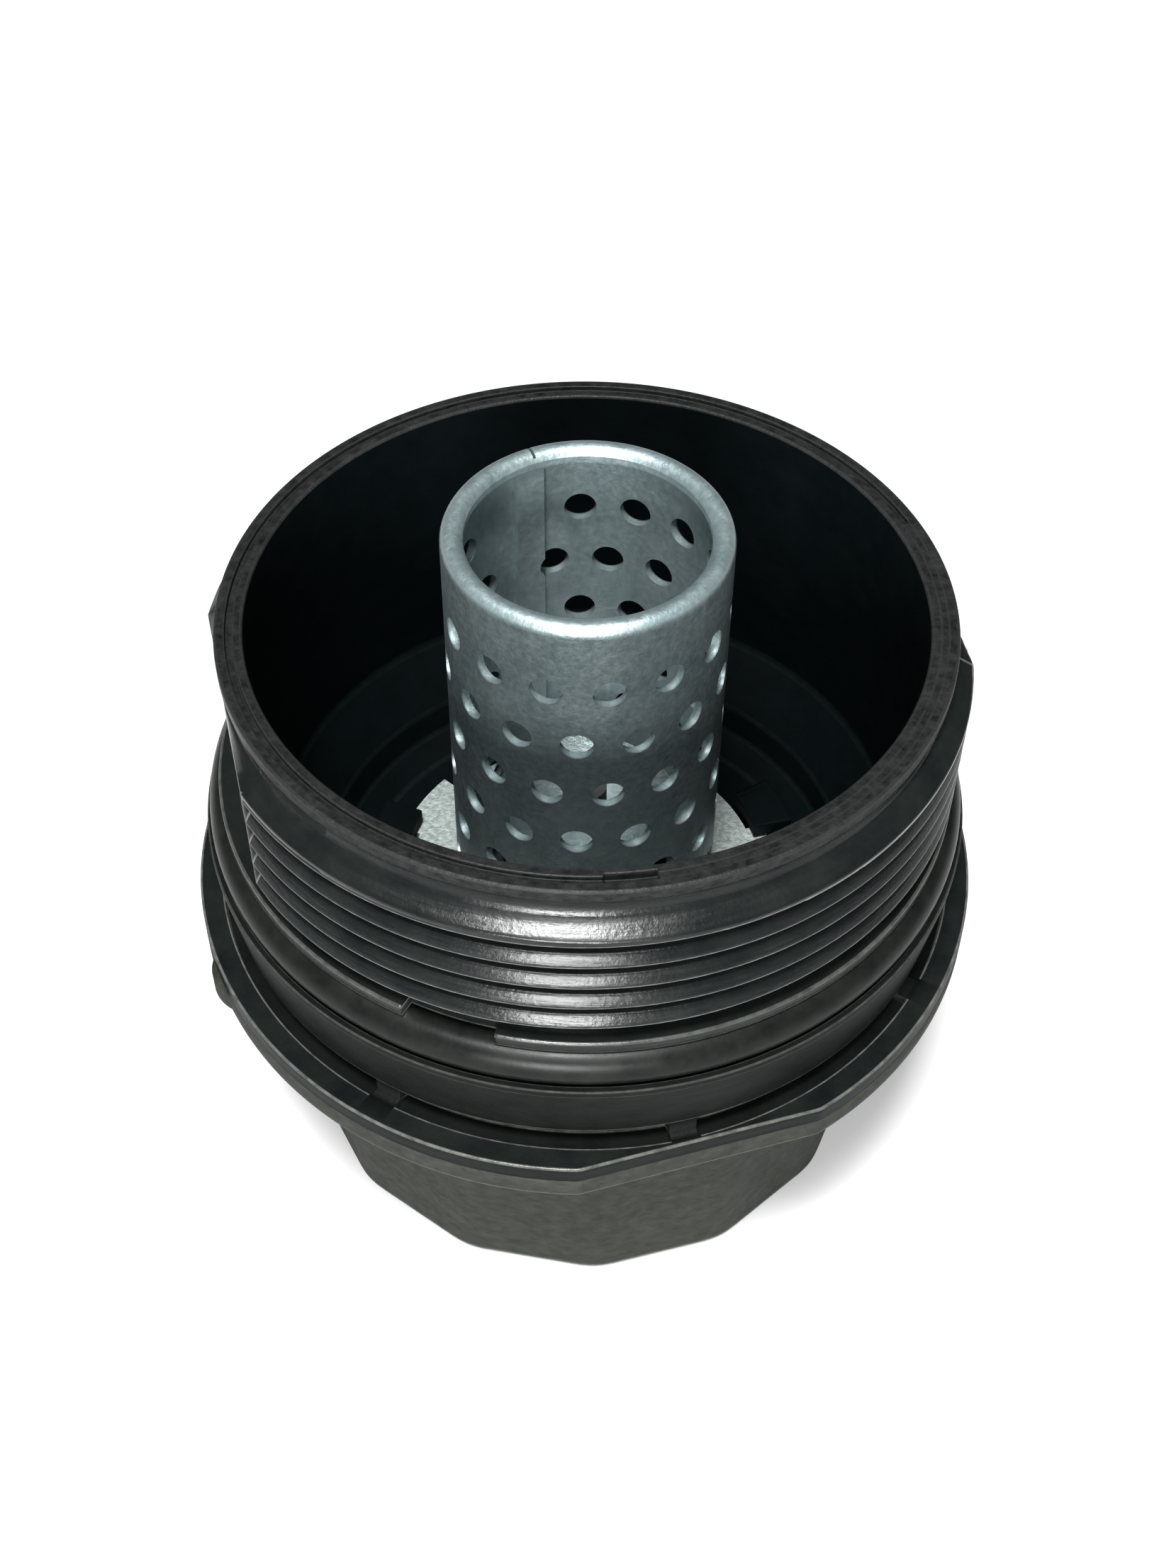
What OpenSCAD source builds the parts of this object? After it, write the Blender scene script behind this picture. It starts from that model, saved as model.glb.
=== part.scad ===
// Oil filter housing cap with a perforated centre tube, a drain valve and a drain plug.
// Millimetres, +Z up. The origin is the centre of the wrench end's bottom face, on the
// thread axis. -Y is the front, where the seal groove's notch is.

/* [Wrench end] */
// Distance across opposite wrench flats
wrench_af = 64.5; // [63:0.5:66]
// Number of wrench flats
wrench_sides = 14; // [12:2:16]
// Height of the wrench flats, up to the flange
wrench_h = 30.8; // [29:0.2:31]
// Inner radius of the wrench skirt, seen from below
skirt_inner_r = 28.4; // [27:0.2:28.6]
// Thickness of the ribs under the floor
rib_t = 2.4; // [1.6:0.2:3]

/* [Flange and wall] */
// Outer radius of the flange
flange_r = 42.2; // [41.8:0.1:43]
// Thickness of the flange
flange_h = 4.5; // [4:0.1:5]
// Distance from the axis to the flange's flat
flange_flat = 40.3; // [40:0.1:41]
// Radius of the tapered wall at its upper edge
wall_r = 40.1; // [39.9:0.1:40.3]
// Height of the wall's upper edge above the base
wall_top = 45.5; // [45.4:0.1:45.6]
// Radius of the tapered wall at its lower edge
wall_low_r = 38.9; // [38.6:0.1:39.4]
// Radius at the bottom of the groove between the wall and the flange
core_r = 37.2; // [36.6:0.2:37.8]
// Angle between the small ribs across that groove
core_rib_step = 45; // [40:1:46]

/* [Main seal] */
// Radius of the seal ring's centre line
seal_r = 37.35; // [37.3:0.05:37.4]
// Radius of the seal ring's section
seal_section_r = 2.3; // [2.2:0.1:2.3]
// Height of the seal ring's centre
seal_z = 47; // [46.9:0.1:47.1]
// Radius of the thin collar above the seal ring
collar_r = 38.3; // [38:0.1:38.6]

/* [Thread] */
// Outer radius of the thread
thread_r = 38.3; // [38:0.1:38.4]
// Radius at the bottom of the thread
root_r = 36.8; // [36.4:0.1:37]
// Distance from one thread turn to the next
thread_pitch = 3; // [2.9:0.05:3]
// Number of thread turns
thread_turns = 5; // [4:1:5]
// Height of the lower edge of the lowest turn's crest
thread_z = 53.2; // [53:0.1:53.4]

/* [Rim and cavity] */
// Height of the rim above the base
rim_z = 70.6; // [70:0.2:72]
// Outer radius of the rim
rim_r = 36.4; // [36.2:0.1:36.6]
// Radius of the cavity's mouth
mouth_r = 33.6; // [33:0.1:34]
// Height of the cavity's floor
floor_z = 27.8; // [27.6:0.1:28]
// Height of the underside of the floor
web_z = 24; // [23:0.2:25]

/* [Centre tube] */
// Outer radius of the tube
tube_r = 14.1; // [13.8:0.1:14.4]
// Sheet thickness of the tube
tube_t = 0.9; // [0.7:0.1:1]
// Height of the top of the rolled rim
tube_top = 80.4; // [78:0.2:82]
// Section radius of the rolled rim
curl_r = 1.15; // [1:0.05:1.3]
// Radius of the holes in the tube
hole_r = 1.65; // [1.4:0.05:1.8]
// Distance between the rows of holes
hole_rise = 6.9; // [6.8:0.1:7]
// Number of rows of holes
hole_rows = 6; // [4:1:6]
// Radius of the foot plate
foot_r = 19.6; // [19:0.1:20]
// Thickness of the foot plate
foot_t = 1.1; // [0.8:0.1:1.2]

/* [Drain] */
// Radius of the drain passage through the floor
drain_r = 4.6; // [4.4:0.1:4.8]
// Radius of the drain plug's bore
plug_bore_r = 9.5; // [9.3:0.1:9.6]
// Side of the square drive in the plug
drive_side = 9.6; // [9.5:0.1:9.7]

/* [Hidden] */
$fn = 128;
eps = 0.01;
big = 200;
// Gap between pieces that rest on each other
rest_gap = 0.03;
// Angles are measured from the front (-Y), positive towards the right (+X)
front = -90;
black = [0.10, 0.10, 0.10];
steel = [0.55, 0.58, 0.60];
pale_steel = [0.74, 0.75, 0.75];
rubber = [0.05, 0.05, 0.05];

// Wrench end
wrench_corner_r = wrench_af / 2 / cos(180 / wrench_sides);
wrench_turn = 15.8;
corner_trim = 0.25;
rib_count = 4;
rib_z = 3;

// Flange and wall
flange_z = wrench_h;
flange_top = flange_z + flange_h;
flat_turn = 17;
index_turn = -65;
index_r = 42.95;
index_bulge_r = 5;
wall_low_z = flange_top + 1.9;
core_z = flange_top - 0.9;
core_out_r = 39.65;
core_rib_w = 2.9;
core_rib_turn = -30;
core_ribs = 7;

// Groove of the main seal
groove_r = seal_r - seal_section_r - rest_gap;
groove_z = seal_z - seal_section_r - rest_gap;
collar_z = seal_z + seal_section_r + 0.1;
collar_top = 50.8;
notch_turn = -19.4;
notch_half = 7;
notch_r = 36.5;

// Thread
crest_w = 0.35;
flank = 0.45;
slope_h = 1.2;
slope_r = 37.5;
turn_h = 2.05;
relief_r = 36;
thread_flat = 36.2;
thread_flat_turns = [-75.5, 104.5];
first_turn_z = thread_z + (thread_turns - 1) * thread_pitch;
chamfer_top = first_turn_z + 2.3;

// Rim
rim_bead_h = 1.1;
rim_line_r = 34.6;
rim_line_w = 0.7;
rim_line_depth = 0.5;
rim_key_turn = 6.8;
rim_key_half = 4;

// Cavity below the mouth
bore_r = mouth_r - 0.4;
floor_r = 25.5;

// Bayonet: ears on the foot plate, hooks on the floor
ear_turns = [-118, -10, 98];
ear_half = 12;
ear_r = 21.6;
hook_offset = 15;
hook_half = 8;
hook_in_r = 19.9;
hook_out_r = 24.4;
hook_top = 32.2;
hook_stop = 3;

// Foot plate, spring bridge and valve
bridge_t = 0.9;
bridge_z = floor_z + rest_gap;
foot_z = bridge_z + bridge_t + 0.2;
foot_hole_r = 11;
tube_z = foot_z + foot_t + rest_gap;
rim_land_r = tube_r - 2 * curl_r + 0.05;
seam_turn = -159;
seam_span = 14;
split_turn = -154;
split_w = 0.3;
seam_gap_half = 1;
seam_gap_depth = 0.5;
hole_step = 24.9;
first_row_z = 72.1;
odd_first = -115.2;
odd_count = 13;
even_first = -127.9;
even_count = 14;
bridge_top = 41.9;
bridge_in_r = 9.6;
bridge_out_r = 16.4;
leg_r = 9;
leg_w = 4;
stem_r = 2.3;
stem_hole_r = stem_r + 0.06;
valve_r = 7.6;
valve_z = floor_z + 0.3;
valve_h = 2.3;
valve_seal_r = 6.4;
valve_seal_section = 0.6;
fin_r = drain_r - 0.08;
stem_top = 44.6;
stem_bottom = 18;
spring_r = 5.2;
spring_wire = 0.5;
spring_turns = 6;

// Drain boss and plug
boss_r = 14.5;
boss_z = 1.5;
passage_z = 22;
sink_r = 12;
sink_top = 5.7;
plug_face = 1.6;
plug_flange_r = sink_r - 0.3;
plug_flange_top = 4;
plug_thread_r = plug_bore_r - 0.06;
plug_root_r = 8.8;
plug_top = 13.4;
plug_pitch = 1.5;
plug_seal_r = 10.6;
plug_seal_section = 0.8;
drive_depth = 8;

// Places its children at an angle from the front
module turned(a) {
    rotate([0, 0, front + a]) children();
}

// Part of a ring, between two radii and two heights, half_a either side of an angle
module ring_part(r_in, r_out, z_low, z_high, a, half_a) {
    turned(a - half_a)
        translate([0, 0, z_low])
            rotate_extrude(angle = 2 * half_a)
                translate([r_in, 0]) square([r_out - r_in, z_high - z_low]);
}

// Ring groove with a square section
module ring_cut(r_in, r_out, z_low, z_high) {
    translate([0, 0, z_low])
        difference() {
            cylinder(r = r_out, h = z_high - z_low);
            translate([0, 0, -eps]) cylinder(r = r_in, h = z_high - z_low + 2 * eps);
        }
}

// Ring with a round section
module torus(r, section_r, z) {
    translate([0, 0, z]) rotate_extrude() translate([r, 0]) circle(r = section_r);
}

// Outline of one thread turn, from its root up to its crest
module thread_turn(z) {
    rotate_extrude()
        polygon([
            [relief_r - 1, z - flank], [root_r, z - flank], [thread_r, z],
            [thread_r, z + crest_w], [slope_r, z + crest_w + slope_h], [root_r, z + turn_h],
            [relief_r - 1, z + turn_h]
        ]);
}

// The first turn has a long lead-in chamfer instead of an upper flank
module lead_in_turn() {
    rotate_extrude()
        polygon([
            [relief_r - 1, first_turn_z - flank], [root_r, first_turn_z - flank],
            [thread_r, first_turn_z], [thread_r, first_turn_z + 1], [relief_r + 0.1, chamfer_top],
            [relief_r - 1, chamfer_top]
        ]);
}

// Solid of revolution of the cap, without its thread
module cap_profile() {
    rotate_extrude()
        polygon([
            [0, web_z], [29, web_z], [29, flange_z], [flange_r, flange_z], [flange_r, flange_top],
            [core_out_r, flange_top], [core_out_r, core_z], [core_r, core_z],
            [core_r, wall_low_z], [wall_low_r, wall_low_z], [wall_r, wall_top - 0.8],
            [wall_r, wall_top], [wall_r - 0.75, wall_top], [wall_r - 0.75, groove_z],
            [groove_r, groove_z],
            [groove_r, collar_z], [collar_r, collar_z], [collar_r, collar_top],
            [relief_r, collar_top], [relief_r, rim_z - rim_bead_h - 0.5],
            [rim_r, rim_z - rim_bead_h], [rim_r, rim_z - 0.25], [rim_r - 0.25, rim_z], [0, rim_z]
        ]);
}

// Wrench flats, with the sharp corners turned down a little
module wrench_skirt() {
    difference() {
        intersection() {
            turned(wrench_turn)
                linear_extrude(wrench_h + 1)
                    polygon([
                        for (i = [0 : wrench_sides - 1]) let (a = (i + 0.5) * 360 / wrench_sides)
                            [wrench_corner_r * cos(a), wrench_corner_r * sin(a)]
                    ]);
            cylinder(r = wrench_corner_r - corner_trim, h = wrench_h + 1);
        }
        translate([0, 0, -1]) cylinder(r = skirt_inner_r, h = web_z + 1.5);
    }
}

// Ribs between the skirt and the drain boss, under the floor
module skirt_ribs() {
    for (i = [0 : rib_count - 1])
        rotate([0, 0, 45 + i * 360 / rib_count])
            translate([boss_r - 1, -rib_t / 2, rib_z])
                cube([skirt_inner_r - boss_r + 1.4, rib_t, web_z - rib_z + 1]);
}

// Hollow inside the cap, down to the floor
module cavity() {
    rotate_extrude()
        polygon([
            [0, floor_z], [floor_r, floor_z], [28, 30], [28.8, 33], [bore_r, 39],
            [bore_r, rim_z - 0.6], [mouth_r, rim_z], [mouth_r, rim_z + 1], [0, rim_z + 1]
        ]);
}

// Passage, valve chamber and plug bore, all on the axis
module drain_bores() {
    translate([0, 0, passage_z - eps]) cylinder(r = drain_r, h = floor_z - passage_z + 1);
    translate([0, 0, boss_z - 1]) cylinder(r = plug_bore_r, h = passage_z - boss_z + 1);
    translate([0, 0, boss_z - 1]) cylinder(r = sink_r, h = sink_top - boss_z + 1);
}

// Hooks that hold the ears of the foot plate
module bayonet_hooks() {
    for (a = ear_turns)
        difference() {
            ring_part(hook_in_r, hook_out_r, floor_z - 1, hook_top, a + hook_offset, hook_half);
            ring_part(hook_in_r - 1, ear_r + 0.3, floor_z - 2, foot_z + foot_t + 0.25,
                a + hook_offset - hook_stop, hook_half);
        }
}

// Flat across the flange, square to a wrench flat
module flange_flat_cut() {
    turned(flat_turn)
        translate([flange_flat, -big / 2, flange_z - 1])
            cube([10, big, flange_h + 1 + eps]);
}

// Small ribs across the groove between the wall and the flange
module core_rib_ring() {
    for (i = [0 : core_ribs - 1])
        turned(core_rib_turn + i * core_rib_step)
            translate([core_r - 1, -core_rib_w / 2, core_z - 1])
                union() {
                    cube([wall_low_r - core_r + 0.7, core_rib_w, wall_low_z - core_z + 1.5]);
                    cube([core_out_r - core_r + 1.5, core_rib_w, flange_top - core_z + 0.8]);
                }
}

// Thread turns, cut off by two opposite flats
module thread() {
    difference() {
        union() {
            for (i = [0 : thread_turns - 2])
                thread_turn(thread_z + i * thread_pitch);
            lead_in_turn();
        }
        for (a = thread_flat_turns)
            turned(a)
                translate([thread_flat, -big / 2, collar_top]) cube([10, big, rim_z - 2 - collar_top]);
    }
}

// Narrow groove in the rim's top, left out over the key
module rim_line() {
    difference() {
        ring_cut(rim_line_r, rim_line_r + rim_line_w, rim_z - rim_line_depth, rim_z + 1);
        ring_part(rim_line_r - 1, rim_line_r + 2, rim_z - 2, rim_z + 2, rim_key_turn, rim_key_half);
    }
}

// Moulded cap: everything but the cavity and the bores
module cap_outside() {
    difference() {
        cap_profile();
        flange_flat_cut();
    }
    wrench_skirt();
    thread();
    translate([0, 0, boss_z]) cylinder(r = boss_r, h = web_z - boss_z + 1);
    skirt_ribs();
    core_rib_ring();
    turned(index_turn)
        translate([index_r - index_bulge_r, 0, flange_z + 0.3]) cylinder(r = index_bulge_r, h = 2.1);
}

// Moulded cap: cavity, rim, thread, seal groove, flange and wrench skirt in one piece
module cap_body() {
    color(black)
    difference() {
        union() {
            difference() {
                union() cap_outside();
                cavity();
            }
            bayonet_hooks();
        }
        drain_bores();
        ring_part(notch_r, flange_r, collar_z - 0.5, collar_top + 0.5, notch_turn, notch_half);
        rim_line();
    }
}

// Large rubber ring between the collar and the wall
module main_seal() {
    color(rubber)
        torus(seal_r, seal_section_r, seal_z);
}

// One row of holes through the tube wall
module hole_row(z, first, count) {
    for (i = [0 : count - 1])
        turned(first + i * hole_step)
            translate([tube_r - 4, 0, z])
                rotate([0, 90, 0]) cylinder(r = hole_r, h = 6, $fn = 32);
}

// Rolled rim, with a narrow land inside where a guide pin runs
module rolled_rim() {
    difference() {
        torus(tube_r - curl_r, curl_r, tube_top - curl_r);
        translate([0, 0, tube_top - 3 * curl_r]) cylinder(r = rim_land_r, h = 4 * curl_r);
    }
}

// Rolled steel tube with its lap seam and its rolled rim, whose ends leave a narrow split
module centre_tube() {
    color(steel)
    difference() {
        union() {
            translate([0, 0, tube_z])
                difference() {
                    cylinder(r = tube_r, h = tube_top - curl_r - tube_z);
                    translate([0, 0, -eps])
                        cylinder(r = tube_r - tube_t, h = tube_top - curl_r - tube_z + 2 * eps);
                }
            rolled_rim();
            ring_part(tube_r - 2 * tube_t, tube_r - tube_t + 0.1, tube_z, tube_top - curl_r - 0.2,
                seam_turn + seam_span / 2, seam_span / 2);
        }
        ring_part(tube_r - tube_t - 0.3, tube_r - tube_t + seam_gap_depth, tube_z + 1, tube_top - 2.8,
            seam_turn - seam_gap_half / 2, seam_gap_half);
        turned(split_turn)
            translate([rim_land_r + 0.25, -split_w / 2, tube_top - curl_r + 0.15])
                cube([tube_r - rim_land_r - 0.45, split_w, 2 * curl_r]);
        for (row = [0 : hole_rows - 1])
            hole_row(first_row_z - row * hole_rise,
                row % 2 == 0 ? odd_first : even_first,
                row % 2 == 0 ? odd_count : even_count);
    }
}

// Cut along the foot plate's edge, from the end of one ear to the start of the next
module ear_gap(from, to) {
    half = (to > from ? to - from : to + 360 - from) / 2;
    ring_part(foot_r, ear_r + 1, foot_z - 1, foot_z + foot_t + 1, from + half, half);
}

// Pressed plate under the tube, with bayonet ears
module tube_foot() {
    color(pale_steel)
    difference() {
        translate([0, 0, foot_z]) cylinder(r = ear_r, h = foot_t);
        translate([0, 0, foot_z - 1]) cylinder(r = foot_hole_r, h = foot_t + 2);
        for (i = [0 : len(ear_turns) - 1])
            ear_gap(ear_turns[i] + ear_half, ear_turns[(i + 1) % len(ear_turns)] - ear_half);
    }
}

// Valve that opens when it is pushed up from below
module drain_valve() {
    color(black)
    difference() {
        union() {
            translate([0, 0, valve_z]) cylinder(r = valve_r, h = valve_h);
            translate([0, 0, valve_z]) cylinder(r = stem_r, h = stem_top - valve_z);
            translate([0, 0, stem_bottom]) cylinder(r = stem_r, h = valve_z - stem_bottom + 1);
            intersection() {
                for (i = [0 : 2])
                    rotate([0, 0, i * 120])
                        translate([0, -0.7, stem_bottom]) cube([fin_r + 1, 1.4, valve_z - stem_bottom + 1]);
                translate([0, 0, stem_bottom]) cylinder(r = fin_r, h = valve_z - stem_bottom + 1);
            }
        }
        ring_cut(valve_seal_r - valve_seal_section - rest_gap, valve_seal_r + valve_seal_section + rest_gap,
            valve_z - 1, floor_z + 2 * valve_seal_section + 0.1);
    }
}

module valve_seal() {
    color(rubber)
        torus(valve_seal_r, valve_seal_section, floor_z + valve_seal_section + rest_gap);
}

// Closed tube of spring wire, swept along a helix
module spring_coil(r, wire_r, z_low, z_high, turns) {
    sides = 8;
    steps = 24 * turns;
    points = [
        for (i = [0 : steps]) let (a = 360 * turns * i / steps)
            for (j = [0 : sides - 1]) let (b = 360 * j / sides)
                [(r + wire_r * cos(b)) * cos(a), (r + wire_r * cos(b)) * sin(a),
                 z_low + wire_r + (z_high - z_low - 2 * wire_r) * i / steps + wire_r * sin(b)]
    ];
    walls = [
        for (i = [0 : steps - 1]) for (j = [0 : sides - 1]) let (k = (j + 1) % sides)
            [i * sides + j, (i + 1) * sides + j, (i + 1) * sides + k, i * sides + k]
    ];
    start_cap = [[for (j = [0 : sides - 1]) j]];
    end_cap = [[for (j = [sides - 1 : -1 : 0]) steps * sides + j]];
    polyhedron(points = points, faces = concat(walls, start_cap, end_cap), convexity = 10);
}

module valve_spring() {
    color(steel)
        spring_coil(spring_r, spring_wire, valve_z + valve_h + rest_gap,
            bridge_top - bridge_t - rest_gap, spring_turns);
}

// Three-legged steel bridge that backs the valve spring
module spring_bridge() {
    color(steel)
    union() {
        ring_cut(bridge_in_r, bridge_out_r, bridge_z, bridge_z + bridge_t);
        difference() {
            union() {
                translate([0, 0, bridge_top - bridge_t]) cylinder(r = leg_r + bridge_t, h = bridge_t);
                intersection() {
                    ring_cut(leg_r, leg_r + bridge_t, bridge_z, bridge_top);
                    for (i = [0 : 2])
                        rotate([0, 0, 30 + i * 120])
                            translate([0, -leg_w / 2, bridge_z]) cube([leg_r + 2, leg_w, bridge_top - bridge_z]);
                }
            }
            translate([0, 0, bridge_top - bridge_t - 1]) cylinder(r = stem_hole_r, h = bridge_t + 2);
        }
    }
}

// Outline of the plug, turned round its axis
module plug_blank() {
    rotate_extrude()
        polygon(concat(
            [[0, plug_face], [plug_flange_r - 0.4, plug_face], [plug_flange_r, plug_face + 0.4],
             [plug_flange_r, plug_flange_top], [plug_root_r, plug_flange_top], [plug_root_r, sink_top + 0.2]],
            [for (z = [sink_top + 0.3 : plug_pitch : plug_top - plug_pitch])
                for (p = [[plug_root_r, 0], [plug_thread_r, 0.5], [plug_thread_r, 0.9], [plug_root_r, 1.4]])
                    [p[0], z + p[1]]],
            [[plug_root_r, plug_top - 0.4], [plug_root_r - 0.4, plug_top], [0, plug_top]]
        ));
}

module drain_plug() {
    color(black)
    difference() {
        plug_blank();
        translate([-drive_side / 2, -drive_side / 2, plug_face - 1])
            cube([drive_side, drive_side, drive_depth + 1]);
    }
}

module plug_seal() {
    color(rubber)
        torus(plug_seal_r, plug_seal_section, plug_flange_top + plug_seal_section + rest_gap);
}

cap_body();
main_seal();
centre_tube();
tube_foot();
drain_valve();
valve_seal();
valve_spring();
spring_bridge();
drain_plug();
plug_seal();
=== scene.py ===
from math import cos, degrees, radians, sin, sqrt, tan

import bmesh
import bpy
from mathutils import Matrix, Vector


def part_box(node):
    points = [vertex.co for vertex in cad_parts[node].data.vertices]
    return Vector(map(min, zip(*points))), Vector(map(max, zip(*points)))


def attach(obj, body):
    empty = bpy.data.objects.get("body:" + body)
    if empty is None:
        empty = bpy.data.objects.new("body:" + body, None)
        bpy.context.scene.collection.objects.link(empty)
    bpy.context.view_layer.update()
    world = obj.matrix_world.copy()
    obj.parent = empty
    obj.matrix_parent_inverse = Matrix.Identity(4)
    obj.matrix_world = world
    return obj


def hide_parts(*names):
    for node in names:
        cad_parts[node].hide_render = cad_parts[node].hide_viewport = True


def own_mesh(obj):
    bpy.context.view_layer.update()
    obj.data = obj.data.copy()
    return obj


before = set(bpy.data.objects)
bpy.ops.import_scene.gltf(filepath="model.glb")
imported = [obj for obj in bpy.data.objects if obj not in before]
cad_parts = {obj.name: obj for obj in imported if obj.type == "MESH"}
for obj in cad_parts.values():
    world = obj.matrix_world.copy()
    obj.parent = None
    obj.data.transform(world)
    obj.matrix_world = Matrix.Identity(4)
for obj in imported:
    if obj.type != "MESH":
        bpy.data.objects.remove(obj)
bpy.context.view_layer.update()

MM = 0.001
FRONT = -90.0          # angles are in degrees from -Y, positive towards +X
COLUMNS = 576          # steps round the cap
PAIR_GAP = 0.04        # from a feature's side to the columns on each side of it, in degrees
PAIR_CLEAR = 0.15      # no even step comes nearer to a feature's side than this


# ---------------------------------------------------------------- dimensions, in mm

WRENCH_APOTHEM = 32.25
WRENCH_SIDES = 14
WRENCH_TURN = 15.8
WRENCH_ROUND = 32.85   # the circle that cuts the polygon's corners
WRENCH_LINE = 32.5     # where the outline is drawn, before wrench_r() shapes it
WRENCH_BLEND = 0.25
SKIRT_IN = 28.4
FLANGE_Z = 30.8
FLANGE_TOP = 35.3
FLANGE_R = 42.2
FLANGE_LINE = 33.3
FLANGE_FLAT, FLANGE_FLAT_TURN, FLANGE_FLAT_BLEND = 40.3, 17.0, 0.08
BULGE_TURN, BULGE_HALF, BULGE_R, BULGE_ROUND = -65.0, 3.7, 42.95, 5.0
GROOVE_OUT, GROOVE_IN, GROOVE_Z = 39.65, 37.2, 34.4
RIB_TURNS = [-30.0 + 45 * i for i in range(7)]
RIB_HALF_W, RIB_R = 1.45, 38.6
WALL_LOW_R, WALL_LOW_Z = 38.9, 37.2
WALL_R, WALL_TOP, LIP_W = 40.1, 45.5, 0.75
SEAT_R, SEAT_Z = 35.02, 44.67
COLLAR_R, COLLAR_Z, COLLAR_TOP = 38.3, 49.4, 50.8
NOTCH_TURN, NOTCH_HALF, NOTCH_R = -19.4, 7.0, 36.5
RELIEF_R = 36.0
THREAD_R, ROOT_R, PITCH = 38.3, 36.8, 3.0
THREAD_LOW, THREAD_HIGH, THREAD_TURNS = 51.9, 67.4, 7
CREST_Z = 53.2         # lower edge of the lowest crest, at the front
FLANK = 0.45
LEAD_LOW, LEAD_BAND = 65.0, 65.4       # over these the lead-in cuts the crests, then fills the roots
LEAD_R, LEAD_Z, LEAD_SLOPE = 38.35, 65.95, 1.75
PALE_EDGE_TOP = 66.3        # crest edges are painted pale up to here, partly mould flash and partly painted highlight
FLAT_TURNS, FLAT_HALF, THREAD_FLAT = (-75.5, 104.5), 19.06, 36.2
RIM_Z, RIM_R = 70.6, 36.4
MOUTH_R, BORE_R = 33.6, 33.2
LINE_R, LINE_W, LINE_DEPTH = 34.6, 0.7, 0.55   # the fine groove in the rim's top
DEEP_TURN, DEEP_HALF = 6.8, 4.0        # it ends in a wider, deeper stretch
DEEP_DEPTH, DEEP_WIDER = 1.0, 0.35
LINE_START = 112.0     # the rim is plain from the deep stretch's end to here
FLOOR_Z, WEB_Z, BOSS_R, BOSS_Z = 27.8, 24.0, 14.5, 1.5
DRAIN_R, PASSAGE_Z, PLUG_BORE = 4.6, 22.0, 9.5
SINK_R, SINK_TOP = 12.0, 5.7
EAR_TURNS = (-118.0, -10.0, 98.0)
HOOK_IN, HOOK_SLOT_R, HOOK_OUT = 19.9, 21.9, 24.4
HOOK_LOW, HOOK_SLOT_Z, HOOK_TOP = 26.8, 30.3, 32.2
HOOK_START, HOOK_STOP, HOOK_END = 7.0, 20.0, 23.0
SKIRT_RIB_T, SKIRT_RIB_Z = 2.4, 3.0
TUBE_R = 14.1
SPRING_R, SPRING_WIRE, SPRING_TURNS = 5.2, 0.5, 6
SPRING_FLAT = 0.4      # turns that lie flat at each end


# ---------------------------------------------------------------- materials

def new_material(name, base, rough, metallic=0.0, specular=0.5):
    """A principled material and its node tree."""
    mat = bpy.data.materials.new(name)
    mat.use_nodes = True
    shader = mat.node_tree.nodes["Principled BSDF"]
    shader.inputs["Base Color"].default_value = (*base, 1)
    shader.inputs["Roughness"].default_value = rough
    shader.inputs["Metallic"].default_value = metallic
    shader.inputs["Specular IOR Level"].default_value = specular
    return mat, mat.node_tree, shader


def noise(tree, scale, detail=4.0, stretch=(1, 1, 1), rough=0.6):
    """Noise in the piece's own space, stretched along its axes."""
    coords = tree.nodes.new("ShaderNodeTexCoord")
    mapping = tree.nodes.new("ShaderNodeMapping")
    mapping.inputs["Scale"].default_value = stretch
    texture = tree.nodes.new("ShaderNodeTexNoise")
    texture.inputs["Scale"].default_value = scale
    texture.inputs["Detail"].default_value = detail
    texture.inputs["Roughness"].default_value = rough
    tree.links.new(coords.outputs["Object"], mapping.inputs["Vector"])
    tree.links.new(mapping.outputs["Vector"], texture.inputs["Vector"])
    return texture.outputs["Fac"]


def spread(tree, value, low, high, from_low=0.3, from_high=0.7):
    """Maps a noise value to a range."""
    node = tree.nodes.new("ShaderNodeMapRange")
    node.inputs["From Min"].default_value = from_low
    node.inputs["From Max"].default_value = from_high
    node.inputs["To Min"].default_value = low
    node.inputs["To Max"].default_value = high
    tree.links.new(value, node.inputs["Value"])
    return node.outputs["Result"]


def two_colors(tree, value, first, second):
    """A colour that goes from first to second as value goes from 0 to 1."""
    ramp = tree.nodes.new("ShaderNodeValToRGB")
    ramp.color_ramp.elements[0].color = (*first, 1)
    ramp.color_ramp.elements[1].color = (*second, 1)
    tree.links.new(value, ramp.inputs["Fac"])
    return ramp.outputs["Color"]


def bump(tree, shader, value, distance, strength=1.0):
    """Adds a height on top of any bump the shader has."""
    node = tree.nodes.new("ShaderNodeBump")
    node.inputs["Distance"].default_value = distance
    node.inputs["Strength"].default_value = strength
    tree.links.new(value, node.inputs["Height"])
    if shader.inputs["Normal"].is_linked:
        tree.links.new(shader.inputs["Normal"].links[0].from_socket, node.inputs["Normal"])
    tree.links.new(node.outputs["Normal"], shader.inputs["Normal"])


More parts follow.
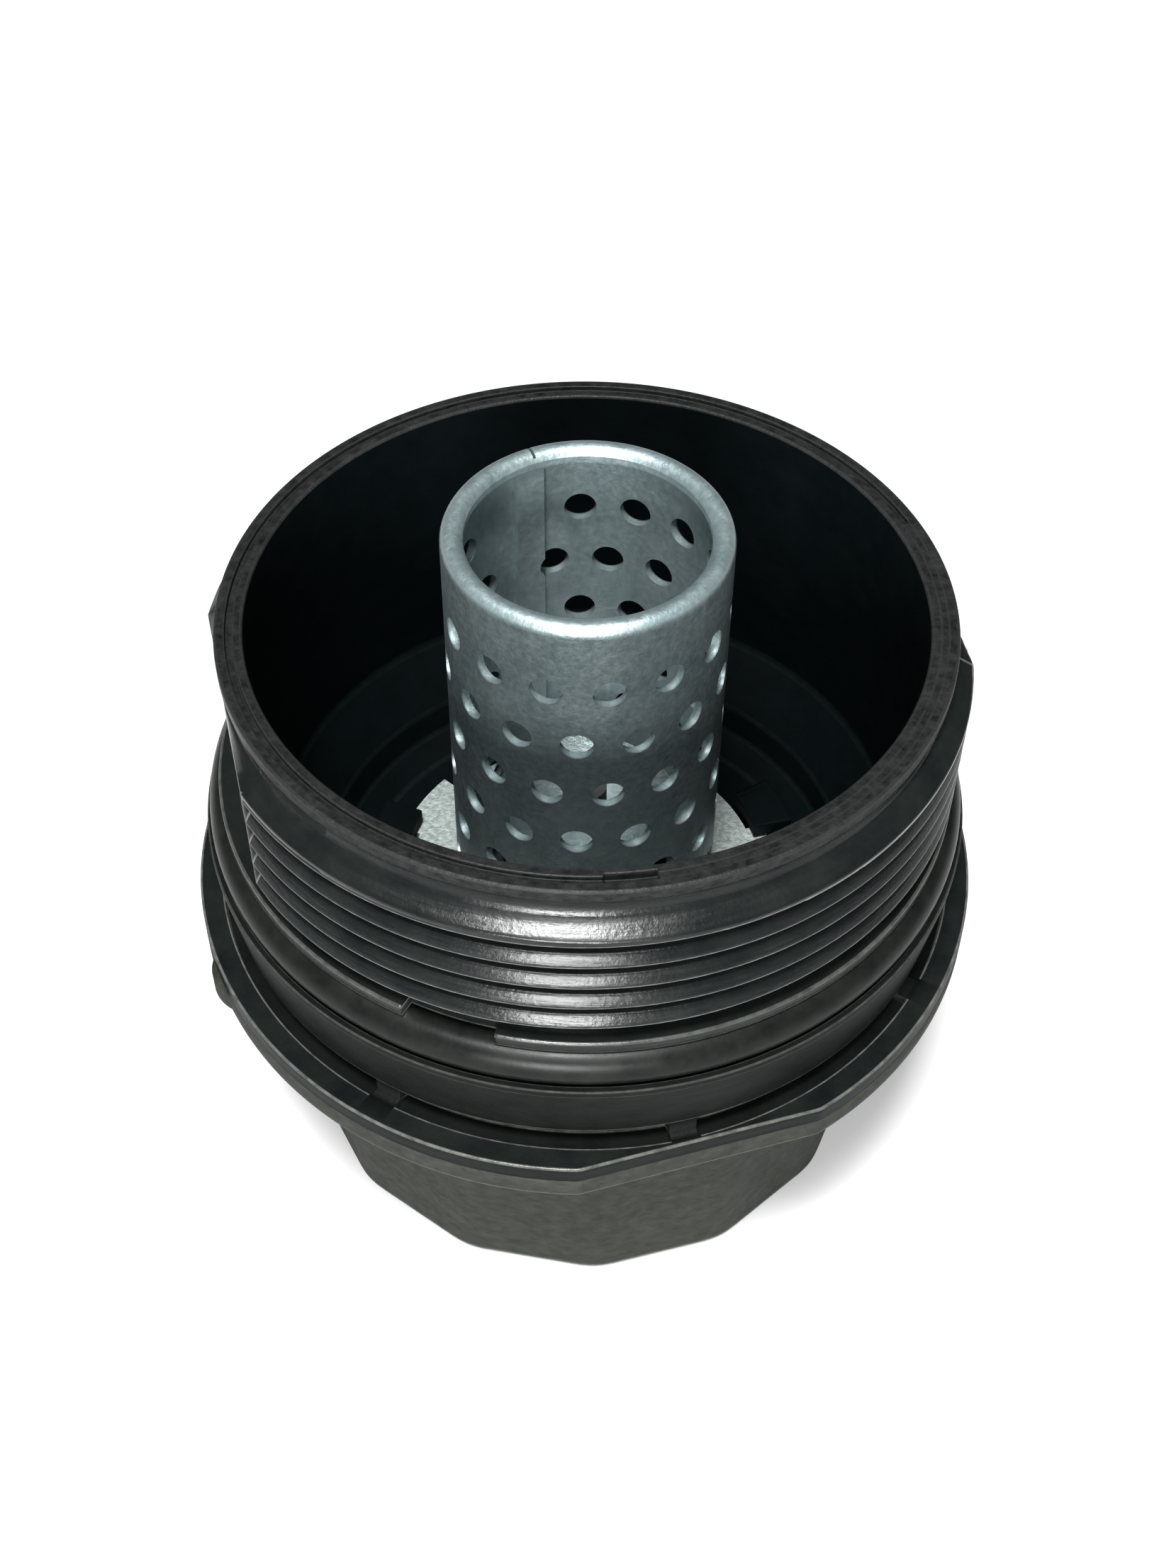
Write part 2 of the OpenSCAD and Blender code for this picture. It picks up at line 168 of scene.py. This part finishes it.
def nylon(name, dark, light, rough_low, rough_high, grain, flash_and_highlight_color, specular=0.3, lines=0.35,
          stretch=(0.35, 0.35, 6.0), patches=260):
    """Moulded glass-filled nylon: mottled, with fine grain, flow lines and paler edges, partly mould
    flash and partly painted highlight on the rounded edges. The mesh's edge attribute says where they are
    pale."""
    mat, tree, shader = new_material(name, dark, rough_high, specular=specular)
    mottle = noise(tree, patches, 6, (1, 1, 1.6))
    body = two_colors(tree, spread(tree, mottle, 0, 1), dark, light)
    edge = tree.nodes.new("ShaderNodeAttribute")
    edge.attribute_name = "edge"
    # pale edges: partly mould flash, partly painted highlight, broken up by noise
    edge_breakup = spread(tree, noise(tree, 900, 3), 0.35, 1.0)
    flash_and_highlight_amount = tree.nodes.new("ShaderNodeMath")
    flash_and_highlight_amount.operation = "MULTIPLY"
    tree.links.new(edge.outputs["Fac"], flash_and_highlight_amount.inputs[0])
    tree.links.new(edge_breakup, flash_and_highlight_amount.inputs[1])
    mix = tree.nodes.new("ShaderNodeMix")
    mix.data_type = "RGBA"
    mix.inputs["B"].default_value = (*flash_and_highlight_color, 1)
    tree.links.new(flash_and_highlight_amount.outputs["Value"], mix.inputs["Factor"])
    tree.links.new(body, mix.inputs["A"])
    tree.links.new(mix.outputs["Result"], shader.inputs["Base Color"])
    streaks = noise(tree, 420, 4, stretch)
    tree.links.new(spread(tree, streaks, rough_low, rough_high), shader.inputs["Roughness"])
    bump(tree, shader, noise(tree, 1900, 3), grain, 0.5)
    bump(tree, shader, streaks, grain * 2, lines)
    return mat


def rubber():
    """Smooth black rubber with faint dust."""
    mat, tree, shader = new_material("seal_rubber", (0.02, 0.02, 0.02), 0.42, specular=0.09)
    dust = noise(tree, 340, 6)
    amount = spread(tree, dust, 0, 1)
    color = two_colors(tree, amount, (0.0025, 0.003, 0.0028), (0.006, 0.007, 0.006))
    tree.links.new(color, shader.inputs["Base Color"])
    tree.links.new(spread(tree, dust, 0.30, 0.40), shader.inputs["Roughness"])
    bump(tree, shader, noise(tree, 3000, 2), 0.00002, 0.4)
    return mat


def beyond(tree, first, last):
    """0 nearer the piece's axis than the first radius, 1 further out than the last."""
    coords = tree.nodes.new("ShaderNodeTexCoord")
    flat = tree.nodes.new("ShaderNodeMapping")
    flat.inputs["Scale"].default_value = (1, 1, 0)
    length = tree.nodes.new("ShaderNodeVectorMath")
    length.operation = "LENGTH"
    tree.links.new(coords.outputs["Object"], flat.inputs["Vector"])
    tree.links.new(flat.outputs["Vector"], length.inputs[0])
    return spread(tree, length.outputs["Value"], 0, 1, first, last)


def plated(name, dark, light, rough_low, rough_high, metallic, bore_painted_light=1.0):
    """Plated sheet steel: fine grain with cloudy patches. The tube's bore and its holes' walls are
    as many times paler as bore_painted_light says: painted light, the tube lit brighter inside than out."""
    mat, tree, shader = new_material(name, dark, rough_high, metallic=metallic)
    cloud = spread(tree, noise(tree, 180, 12, (1, 1, 0.6), 0.82), 0, 1)
    mix = tree.nodes.new("ShaderNodeMix")
    mix.data_type = "RGBA"
    bore = [tuple(v * bore_painted_light for v in color) for color in (dark, light)]
    tree.links.new(beyond(tree, (TUBE_R - 0.2) * MM, (TUBE_R - 0.05) * MM), mix.inputs["Factor"])
    tree.links.new(two_colors(tree, cloud, *bore), mix.inputs["A"])
    tree.links.new(two_colors(tree, cloud, dark, light), mix.inputs["B"])
    tree.links.new(mix.outputs["Result"], shader.inputs["Base Color"])
    grain = noise(tree, 1500, 4)
    tree.links.new(spread(tree, grain, rough_low, rough_high), shader.inputs["Roughness"])
    bump(tree, shader, grain, 0.00008, 0.8)
    return mat


GLOSSY = nylon("black_nylon", (0.0025, 0.0032, 0.0032), (0.0055, 0.0068, 0.0064),
               0.18, 0.32, 0.000055, (0.095, 0.098, 0.092), specular=0.2)
WALL = nylon("black_nylon_wall", (0.002, 0.0025, 0.0023), (0.0042, 0.005, 0.0046),
             0.44, 0.56, 0.00009, (0.085, 0.088, 0.082), specular=0.04, lines=0.08)
MATTE = nylon("black_nylon_matte", (0.011, 0.012, 0.01), (0.0212, 0.0224, 0.0194),
              0.5, 0.62, 0.00015, (0.055, 0.056, 0.05), specular=0.06, lines=0.1,
              stretch=(1.0, 1.0, 1.0), patches=620)
RIM = nylon("black_nylon_rim", (0.0025, 0.003, 0.003), (0.0125, 0.013, 0.0125),
            0.36, 0.52, 0.00018, (0.012, 0.0125, 0.012), specular=0.1, lines=0.1,
            stretch=(1.0, 1.0, 1.0), patches=900)
# The cavity's nylon: a darker copy of the outside's, painted shade in the hollow.
SHADED_INSIDE = nylon("black_nylon_inside_painted_shade", (0.0004, 0.0011, 0.0013), (0.0008, 0.0018, 0.0021),
               0.6, 0.75, 0.00003, (0.002, 0.0035, 0.0035), specular=0.03, lines=0.1,
               stretch=(1.0, 1.0, 1.0))
RUBBER = rubber()
# the tube's bore and holes' walls are painted 2.05 times paler: painted light inside the tube
TUBE = plated("tube_steel", (0.065, 0.09, 0.095), (0.143, 0.176, 0.179), 0.37, 0.53, 0.8,
              bore_painted_light=2.05)
FOOT = plated("foot_steel", (0.5, 0.57, 0.545), (0.62, 0.7, 0.67), 0.45, 0.6, 1.0)
SPRING = plated("spring_steel", (0.24, 0.26, 0.26), (0.38, 0.40, 0.40), 0.3, 0.45, 1.0)
PLUG = nylon("plug_nylon", (0.03, 0.03, 0.03), (0.05, 0.05, 0.05),
             0.5, 0.65, 0.00005, (0.1, 0.1, 0.1))


# ---------------------------------------------------------------- lathe with features

def off_by(angle, centre):
    """How far an angle is past centre, from -180 to 180 degrees."""
    return (angle - centre + 180) % 360 - 180


def near(angle, centre, half):
    """Whether an angle is within half of centre."""
    return abs(off_by(angle, centre)) < half


def smooth_min(a, b, k):
    """The smaller of two radii, rounded where they cross."""
    h = max(k - abs(a - b), 0) / k
    return min(a, b) - h * h * k / 4


def wrench_r(t):
    """Radius of the wrench end: a polygon with rounded corners."""
    step = 360 / WRENCH_SIDES
    offset = (t - WRENCH_TURN + step / 2) % step - step / 2
    return smooth_min(WRENCH_APOTHEM / cos(radians(offset)), WRENCH_ROUND, WRENCH_BLEND)


def flange_r(t):
    """Radius of the flange: round, with one flat."""
    offset = off_by(t, FLANGE_FLAT_TURN)
    if abs(offset) < 60:
        return smooth_min(FLANGE_R, FLANGE_FLAT / cos(radians(offset)), FLANGE_FLAT_BLEND)
    return FLANGE_R


def bulge_r(t):
    """Radius of the flange's round index bulge."""
    offset = radians(off_by(t, BULGE_TURN))
    middle = BULGE_R - BULGE_ROUND
    return middle * cos(offset) + sqrt(BULGE_ROUND ** 2 - (middle * sin(offset)) ** 2)


def on_rib(t):
    """Whether an angle is on one of the small ribs above the flange."""
    return any(near(t, centre, degrees(RIB_HALF_W / RIB_R)) for centre in RIB_TURNS)


def on_flat(t):
    """Whether an angle is on one of the thread's flats."""
    return any(near(t, centre, FLAT_HALF) for centre in FLAT_TURNS)


def column_angles():
    """Even steps round the cap, with a close pair at each feature's side."""
    features = [(centre, FLAT_HALF) for centre in FLAT_TURNS]
    features += [(NOTCH_TURN, NOTCH_HALF), (DEEP_TURN, DEEP_HALF)]
    features += [(centre, degrees(RIB_HALF_W / RIB_R)) for centre in RIB_TURNS]
    sides = [LINE_START]
    for centre, half in features:
        sides += [(centre - half) % 360, (centre + half) % 360]
    even = [i * 360 / COLUMNS for i in range(COLUMNS)]
    clear = [a for a in even if all(abs(a - side) > PAIR_CLEAR for side in sides)]
    return sorted(clear + [side + d for side in sides for d in (-PAIR_GAP, PAIR_GAP)])


def rounded(points, steps=3):
    """Rounds an outline's corners. A point is (r, z, corner radius, tag). A result point is
    (r, z, edge, tag), where edge is 1 on a rounded corner. A guard point on each side of a corner
    keeps the flat faces' shading flat."""
    out = []
    count = len(points)
    for i, (r, z, radius, tag) in enumerate(points):
        here = Vector((r, z))
        if radius <= 0:
            out.append((r, z, 0.0, tag))
            continue
        before = Vector(points[i - 1][:2]) - here
        after = Vector(points[(i + 1) % count][:2]) - here
        turn = before.angle(after)
        cut = min(radius / tan(turn / 2), before.length * 0.45, after.length * 0.45)
        start = here + before.normalized() * cut
        end = here + after.normalized() * cut
        guard = min(0.12, before.length * 0.04, after.length * 0.04)
        out.append((*(start + before.normalized() * guard), 0.0, tag))
        for k in range(steps + 1):
            u = k / steps
            p = start * (1 - u) ** 2 + here * 2 * u * (1 - u) + end * u ** 2
            out.append((p.x, p.y, 1.0, tag))
        out.append((*(end + after.normalized() * guard), 0.0, tag))
    return out


# How pale the corners with a tag are: partly mould flash, partly painted highlight. The others are 1.
EDGE_FLASH_AND_HIGHLIGHT = {"groove": 0.9, "wall": 0.9, "lip": 0.25, "collar": 0.35, "flange_upper": 0.7}

# The outline goes up the outside, over the rim, down the cavity and back under the floor. The
# thread is between its two parts.
BELOW_THREAD = [
    (SKIRT_IN, 0.0, 0.5, "plain"),
    (WRENCH_LINE, 0.0, 0.6, "wrench"),
    (WRENCH_LINE, FLANGE_Z, 0.4, "wrench"),
    (FLANGE_R, FLANGE_Z, 0.2, "flange"),
    (FLANGE_R, FLANGE_LINE - 0.05, 0.0, "flange"),
    (FLANGE_R - 0.12, FLANGE_LINE, 0.0, "flange_line"),
    (FLANGE_R - 0.02, FLANGE_LINE + 0.06, 0.0, "flange_upper"),
    (FLANGE_R - 0.02, FLANGE_TOP, 0.2, "flange_upper"),
    (GROOVE_OUT, FLANGE_TOP, 0.2, "groove"),
    (GROOVE_OUT, GROOVE_Z, 0.1, "groove"),
    (GROOVE_IN, GROOVE_Z, 0.1, "groove"),
    (GROOVE_IN, WALL_LOW_Z, 0.1, "groove"),
    (WALL_LOW_R, WALL_LOW_Z, 0.2, "wall"),
    (WALL_R, WALL_TOP - 0.8, 0.3, "lip"),
    (WALL_R, WALL_TOP, 0.15, "lip"),
    (WALL_R - LIP_W, WALL_TOP, 0.12, "lip"),
    (WALL_R - LIP_W, SEAT_Z, 0.15, "lip"),
    (SEAT_R, SEAT_Z, 0.3, "plain"),
    (SEAT_R, COLLAR_Z, 0.2, "plain"),
    (COLLAR_R, COLLAR_Z, 0.2, "collar"),
    (COLLAR_R, COLLAR_TOP, 0.25, "collar"),
    (RELIEF_R, COLLAR_TOP, 0.2, "plain"),
]
ABOVE_THREAD = [
    (RELIEF_R, RIM_Z - 1.7, 0.15, "plain"),
    (RIM_R, RIM_Z - 1.3, 0.15, "rim"),
    (RIM_R, RIM_Z, 0.3, "rim"),
    (LINE_R + LINE_W, RIM_Z, 0.12, "rim_line"),
    (LINE_R + LINE_W, RIM_Z - LINE_DEPTH, 0.08, "rim_line_floor"),
    (LINE_R, RIM_Z - LINE_DEPTH, 0.08, "rim_line_floor"),
    (LINE_R, RIM_Z, 0.12, "rim_line"),
    (MOUTH_R, RIM_Z, 0.3, "rim"),
    (BORE_R, RIM_Z - 3.0, 0.0, "inside"),
    (BORE_R, 39.0, 1.5, "inside"),
    (28.8, 33.0, 1.5, "inside"),
    (28.0, 30.0, 1.0, "inside"),
    (25.5, FLOOR_Z, 0.8, "inside"),
    (DRAIN_R, FLOOR_Z, 0.3, "inside"),
    (DRAIN_R, PASSAGE_Z, 0.3, "inside"),
    (PLUG_BORE, PASSAGE_Z, 0.4, "inside"),
    (PLUG_BORE, SINK_TOP, 0.2, "inside"),
    (SINK_R, SINK_TOP, 0.2, "under"),
    (SINK_R, BOSS_Z, 0.3, "under"),
    (BOSS_R, BOSS_Z, 0.4, "under"),
    (BOSS_R, WEB_Z, 1.0, "under"),
    (SKIRT_IN, WEB_Z, 1.0, "under"),
]


def featured(r, z, tag, t):
    """The outline's point at an angle, with that angle's features."""
    if tag == "wrench":
        return r - WRENCH_LINE + wrench_r(t), z
    if tag in ("flange", "flange_line", "flange_upper"):
        on_bulge = near(t, BULGE_TURN, BULGE_HALF) and FLANGE_Z + 0.1 < z < FLANGE_LINE
        if tag == "flange" and on_bulge:
            return r - FLANGE_R + max(FLANGE_R, bulge_r(t)), z
        return r - FLANGE_R + flange_r(t), z
    if tag == "groove" and on_rib(t):
        return min(max(r, RIB_R), GROOVE_OUT), max(z, FLANGE_TOP - 0.2)
    if tag == "collar" and near(t, NOTCH_TURN, NOTCH_HALF):
        return min(r, NOTCH_R), z
    if tag in ("rim_line", "rim_line_floor"):
        if near(t, DEEP_TURN, DEEP_HALF):
            on_floor = tag == "rim_line_floor" and z < RIM_Z - 0.1
            deeper = DEEP_DEPTH - LINE_DEPTH if on_floor else 0.0
            return (r - DEEP_WIDER if r < LINE_R + LINE_W / 2 else r), z - deeper
        if DEEP_TURN + DEEP_HALF < t < LINE_START:
            return r, RIM_Z - (0.0 if tag == "rim_line" else 0.03)
    return r, z


def edge_flash_and_highlight(tag, t):
    """How pale a tag's corners are at an angle: partly mould flash, partly painted highlight. The ribs'
    aren't painted pale.
    """
    if tag == "groove" and on_rib(t):
        return 0.0
    return EDGE_FLASH_AND_HIGHLIGHT.get(tag, 1.0)


def thread_outline():
    """One pitch of the thread's outline: (height above the crest's lower edge, share of the
    thread's depth, edge)."""
    return [(-FLANK - 0.02, 0.0, 0.0), (-FLANK * 0.9, 0.12, 0.0), (-0.14, 0.8, 0.0), (-0.06, 0.92, 1.0),
            (0.04, 0.98, 1.0), (0.14, 1.0, 1.0), (0.22, 0.99, 0.0), (0.36, 0.945, 0.0), (0.52, 0.885, 0.0),
            (0.7, 0.815, 0.0), (0.88, 0.74, 0.0), (1.06, 0.66, 0.0), (1.22, 0.585, 0.0), (1.3, 0.53, 0.0),
            (1.36, 0.45, 0.0), (1.41, 0.33, 0.0), (1.46, 0.18, 0.0), (1.52, 0.06, 0.0), (1.62, 0.0, 0.0)]


def thread_point(z, depth, t):
    """Radius of the thread at a height, with the run-out, the lead-in cone and the flats. Depth is
    the share of the thread's depth."""
    fade_in = min(1.0, max(0.0, z - THREAD_LOW))
    root = RELIEF_R + (ROOT_R - RELIEF_R) * fade_in
    r = root + (THREAD_R - root) * depth * fade_in
    cone = LEAD_R - (z - LEAD_Z) * LEAD_SLOPE
    if z > LEAD_LOW:
        band = min(THREAD_R, cone) if z > LEAD_BAND else r
        r = max(min(r, cone), band)
    for centre in FLAT_TURNS:
        if near(t, centre, 30):
            r = min(r, THREAD_FLAT / cos(radians(t - centre)))
    return max(r, RELIEF_R)


def lathe_cap(angles):
    """The cap's skin as (vertices, faces, edge values), with the thread as a true helix."""
    low = rounded(BELOW_THREAD)
    high = rounded(ABOVE_THREAD)
    pitch_rows = thread_outline()
    k = len(pitch_rows)
    rows = k * THREAD_TURNS
    verts = []
    values = []

    def add(r, z, t, edge):
        a = radians(FRONT + t)
        verts.append((r * cos(a) * MM, r * sin(a) * MM, z * MM))
        values.append(edge)

    for t in angles:
        for r, z, edge, tag in low:
            add(*featured(r, z, tag, t), t, edge * edge_flash_and_highlight(tag, t))
        at_flat_edge = any(near(t, a + side * FLAT_HALF, 0.1) for a in FLAT_TURNS for side in (-1, 1))
        for i in range(rows):
            step, inner = divmod(i, k)
            rise, depth, edge = pitch_rows[inner]
            z = CREST_Z + rise + PITCH * (step - 1 + t / 360 - (1 if t > 180 else 0))
            clamped = min(max(z, THREAD_LOW), THREAD_HIGH)
            # crest edges are painted pale low on the thread and off the flats, and the flats' edges too:
            # partly mould flash, partly painted highlight
            if z != clamped or z >= PALE_EDGE_TOP or on_flat(t):
                edge = 0.0
            if depth > 0.5 and at_flat_edge:
                edge = 1.0
            add(thread_point(clamped, depth, t), clamped, t, edge)
        for r, z, edge, tag in high:
            add(*featured(r, z, tag, t), t, edge)
    first = len(low)
    top = first + rows - 1
    size = first + rows + len(high)
    count = len(angles)
    # One column further, each thread row goes on in the row one pitch up.
    seam = next(j for j, t in enumerate(angles) if t > 180) - 1

    def at(column, i):
        return column % count * size + i % size

    faces = []
    for j in range(count):
        for i in range(size):
            if j == seam and first <= i < top:
                right = i + k
                if right > top:
                    faces.append((at(j, i), at(j + 1, top), at(j, i + 1)))
                else:
                    right2 = min(right + 1, top)
                    faces.append((at(j, i), at(j + 1, right), at(j + 1, right2), at(j, i + 1)))
            else:
                faces.append((at(j, i), at(j + 1, i), at(j + 1, i + 1), at(j, i + 1)))
        if j == seam:
            for s in range(k):
                faces.append((at(j, first), at(j + 1, first + s), at(j + 1, first + s + 1)))
    return verts, faces, values


def mesh_object(name, verts, faces, values=None):
    """A new smooth closed object from vertices and faces, with its edge values."""
    mesh = bpy.data.meshes.new(name)
    mesh.from_pydata(verts, [], faces)
    if values is not None:
        attribute = mesh.attributes.new("edge", "FLOAT", "POINT")
        attribute.data.foreach_set("value", values)
    obj = bpy.data.objects.new(name, mesh)
    bpy.context.scene.collection.objects.link(obj)
    weld = obj.modifiers.new("weld", "WELD")
    weld.merge_threshold = 0.004 * MM
    bpy.context.view_layer.objects.active = obj
    obj.select_set(True)
    bpy.ops.object.modifier_apply(modifier="weld")
    obj.select_set(False)
    obj.data.validate()
    obj.data.shade_smooth()
    return obj


def solid_object(name, solids, material):
    """A new object of closed solids, each (vertices, faces), with bevelled edges."""
    bm = bmesh.new()
    for verts, faces in solids:
        made = [bm.verts.new(v) for v in verts]
        for face in faces:
            bm.faces.new([made[i] for i in face])
    bmesh.ops.recalc_face_normals(bm, faces=bm.faces)
    sharp = [e for e in bm.edges if e.calc_face_angle() > radians(40)]
    bmesh.ops.bevel(bm, geom=sharp, offset=0.25 * MM, segments=2, affect="EDGES", profile=0.6)
    mesh = bpy.data.meshes.new(name)
    bm.to_mesh(mesh)
    bm.free()
    mesh.materials.append(material)
    obj = bpy.data.objects.new(name, mesh)
    bpy.context.scene.collection.objects.link(obj)
    return obj


def sector(outline, first, last, steps=6):
    """A closed solid: an outline of (r, z) swept round the axis between two angles."""
    count = len(outline)
    verts, faces = [], []
    for k in range(steps + 1):
        a = radians(FRONT + first + (last - first) * k / steps)
        verts += [(r * cos(a) * MM, r * sin(a) * MM, z * MM) for r, z in outline]
    for k in range(steps):
        for i in range(count):
            i2 = (i + 1) % count
            faces.append((k * count + i, (k + 1) * count + i, (k + 1) * count + i2, k * count + i2))
    faces.append(tuple(range(count)))
    faces.append(tuple(range(steps * count, (steps + 1) * count)))
    return verts, faces


def hooks():
    """The hooks over the foot plate's ears, each with its stop."""
    arm = [(HOOK_SLOT_R, HOOK_LOW), (HOOK_OUT, HOOK_LOW), (HOOK_OUT, HOOK_TOP), (HOOK_IN, HOOK_TOP),
           (HOOK_IN, HOOK_SLOT_Z), (HOOK_SLOT_R, HOOK_SLOT_Z)]
    stop = [(HOOK_IN, HOOK_LOW), (HOOK_OUT, HOOK_LOW), (HOOK_OUT, HOOK_TOP), (HOOK_IN, HOOK_TOP)]
    solids = []
    for t in EAR_TURNS:
        solids.append(sector(arm, t + HOOK_START, t + HOOK_STOP + 0.5))
        solids.append(sector(stop, t + HOOK_STOP, t + HOOK_END))
    # the hooks get the cavity's darker nylon: painted shade
    return solid_object("hooks", solids, SHADED_INSIDE)


def skirt_ribs():
    """The four ribs between the drain boss and the skirt, thinner towards their lower edge."""
    solids = []
    for i in range(4):
        turn = Matrix.Rotation(radians(45 + 90 * i), 3, "Z")
        inner = BOSS_R - 1
        outer = SKIRT_IN + 0.4
        corners = []
        for z, half in ((SKIRT_RIB_Z, SKIRT_RIB_T / 2 - 0.1), (WEB_Z + 1, SKIRT_RIB_T / 2)):
            for x, y in ((inner, -half), (outer, -half), (outer, half), (inner, half)):
                corners.append(tuple(turn @ Vector((x, y, z)) * MM))
        faces = [(0, 3, 2, 1), (4, 5, 6, 7), (0, 1, 5, 4), (1, 2, 6, 5), (2, 3, 7, 6), (3, 0, 4, 7)]
        solids.append((corners, faces))
    return solid_object("skirt_ribs", solids, MATTE)


SHELL_MATERIALS = (GLOSSY, MATTE, RIM, SHADED_INSIDE, WALL)
GLOSSY_SLOT, MATTE_SLOT, RIM_SLOT, SHADED_INSIDE_SLOT, WALL_SLOT = range(5)


def shell_slot(r, z):
    """The material slot of the moulded cap's face at a radius and height."""
    if z < FLANGE_LINE and (r > 30 or z < WEB_Z + 0.1):
        return MATTE_SLOT
    # the cavity's faces get the darker copy of the nylon: painted shade
    if r < MOUTH_R - 0.15 and z < RIM_Z - 0.5:
        return SHADED_INSIDE_SLOT
    if z > RIM_Z - 1.4 and r > MOUTH_R - 0.3:
        return RIM_SLOT
    if GROOVE_Z - 0.1 < z < WALL_TOP + 0.1 and GROOVE_IN - 0.3 < r < WALL_R + 0.2:
        return WALL_SLOT
    if z < FLANGE_TOP - 0.05 and r > FLANGE_FLAT - 0.3:
        return WALL_SLOT
    return GLOSSY_SLOT


def cap_shell():
    """The moulded cap, with its hooks and skirt ribs."""
    obj = mesh_object("cap_shell", *lathe_cap(column_angles()))
    for mat in SHELL_MATERIALS:
        obj.data.materials.append(mat)
    for face in obj.data.polygons:
        centre = face.center / MM
        face.material_index = shell_slot(sqrt(centre.x ** 2 + centre.y ** 2), centre.z)
    bpy.ops.object.select_all(action="DESELECT")
    for piece in (hooks(), skirt_ribs()):
        piece.select_set(True)
    obj.select_set(True)
    bpy.context.view_layer.objects.active = obj
    bpy.ops.object.join()
    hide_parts("cap_body")
    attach(obj, "cap")


def coil_spring():
    """The valve's spring, with its end turns flat."""
    low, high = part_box("valve_spring")
    wire = SPRING_WIRE * MM
    travel = high.z - low.z - 2 * wire
    steps, sides = 36, 10
    last = SPRING_TURNS * steps
    verts = []
    for i in range(last + 1):
        a = radians(360 * i / steps)
        rise = min(max((i / steps - SPRING_FLAT) / (SPRING_TURNS - 2 * SPRING_FLAT), 0), 1)
        for j in range(sides):
            b = radians(360 * j / sides)
            r = SPRING_R * MM + wire * cos(b)
            verts.append((r * cos(a), r * sin(a), low.z + wire + travel * rise + wire * sin(b)))
    faces = []
    for i in range(last):
        for j in range(sides):
            j2 = (j + 1) % sides
            faces.append((i * sides + j, (i + 1) * sides + j, (i + 1) * sides + j2, i * sides + j2))
    faces.append(tuple(range(sides)))
    faces.append(tuple(last * sides + j for j in reversed(range(sides))))
    obj = mesh_object("coil_spring", verts, faces)
    obj.data.materials.append(SPRING)
    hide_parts("valve_spring")
    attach(obj, "cap")
    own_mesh(obj)


cap_shell()
coil_spring()


def paint(node, material):
    """Gives a CAD node its material."""
    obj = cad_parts[node]
    obj.data.materials.clear()
    obj.data.materials.append(material)


paint("main_seal", RUBBER)
paint("valve_seal", RUBBER)
paint("plug_seal", RUBBER)
paint("centre_tube", TUBE)
paint("spring_bridge", SPRING)
paint("tube_foot", FOOT)
paint("drain_plug", PLUG)
paint("drain_valve", PLUG)


# ---------------------------------------------------------------- floor, light and camera

LIGHT_AIM = Vector((0, 0, 0.04))
LIGHT_CENTRE_Z = 0.05
CAMERA_PLACE = (0.00027, -0.1485, 0.2070)
CAMERA_DOWN, CAMERA_ROLL = 47.55, 0.63         # degrees below level, and about the line of sight


def floor():
    """A plain pale floor, just under the cap."""
    bpy.ops.mesh.primitive_plane_add(size=6, location=(0, 0, -0.0004))
    obj = bpy.context.object
    obj.name = "floor"
    mat = new_material("floor", (0.46, 0.46, 0.46), 0.8, specular=0.1)[0]
    obj.data.materials.append(mat)


def area_light(name, place, size, power):
    """A white rectangular light that faces the cap."""
    data = bpy.data.lights.new(name, "AREA")
    data.shape = "RECTANGLE"
    data.size, data.size_y = size
    data.energy = power
    obj = bpy.data.objects.new(name, data)
    obj.location = place
    obj.rotation_euler = (LIGHT_AIM - Vector(place)).to_track_quat("-Z", "Y").to_euler()
    bpy.context.scene.collection.objects.link(obj)


def towards(turn, height, distance):
    """A place at an angle from the front and a height angle, as seen from the cap."""
    a = radians(FRONT + turn)
    e = radians(height)
    across = distance * cos(e)
    return (across * cos(a), across * sin(a), LIGHT_CENTRE_Z + distance * sin(e))


def lights():
    """Three soft lights on the front side, and a dim even surround."""
    area_light("key", towards(-12, 70, 1.2), (0.26, 0.26), 37.5)
    area_light("front", towards(-6, 13, 1.2), (0.4, 0.4), 35)
    area_light("fill", towards(-4, 50, 1.2), (0.48, 0.4), 8)
    world = bpy.data.worlds.new("world")
    world.use_nodes = True
    background = world.node_tree.nodes["Background"]
    background.inputs["Color"].default_value = (1, 1, 1, 1)
    background.inputs["Strength"].default_value = 0.10
    bpy.context.scene.world = world


def camera():
    """The camera, above the front."""
    data = bpy.data.cameras.new("camera")
    data.sensor_fit = "VERTICAL"
    data.sensor_height = 36
    data.lens = 47.08
    data.clip_start = 0.01
    obj = bpy.data.objects.new("camera", data)
    obj.matrix_world = (Matrix.Translation(CAMERA_PLACE)
                        @ Matrix.Rotation(radians(90 - CAMERA_DOWN), 4, "X")
                        @ Matrix.Rotation(radians(CAMERA_ROLL), 4, "Z"))
    bpy.context.scene.collection.objects.link(obj)
    bpy.context.scene.camera = obj


floor()
lights()
camera()
bpy.context.scene.view_settings.view_transform = "Standard"
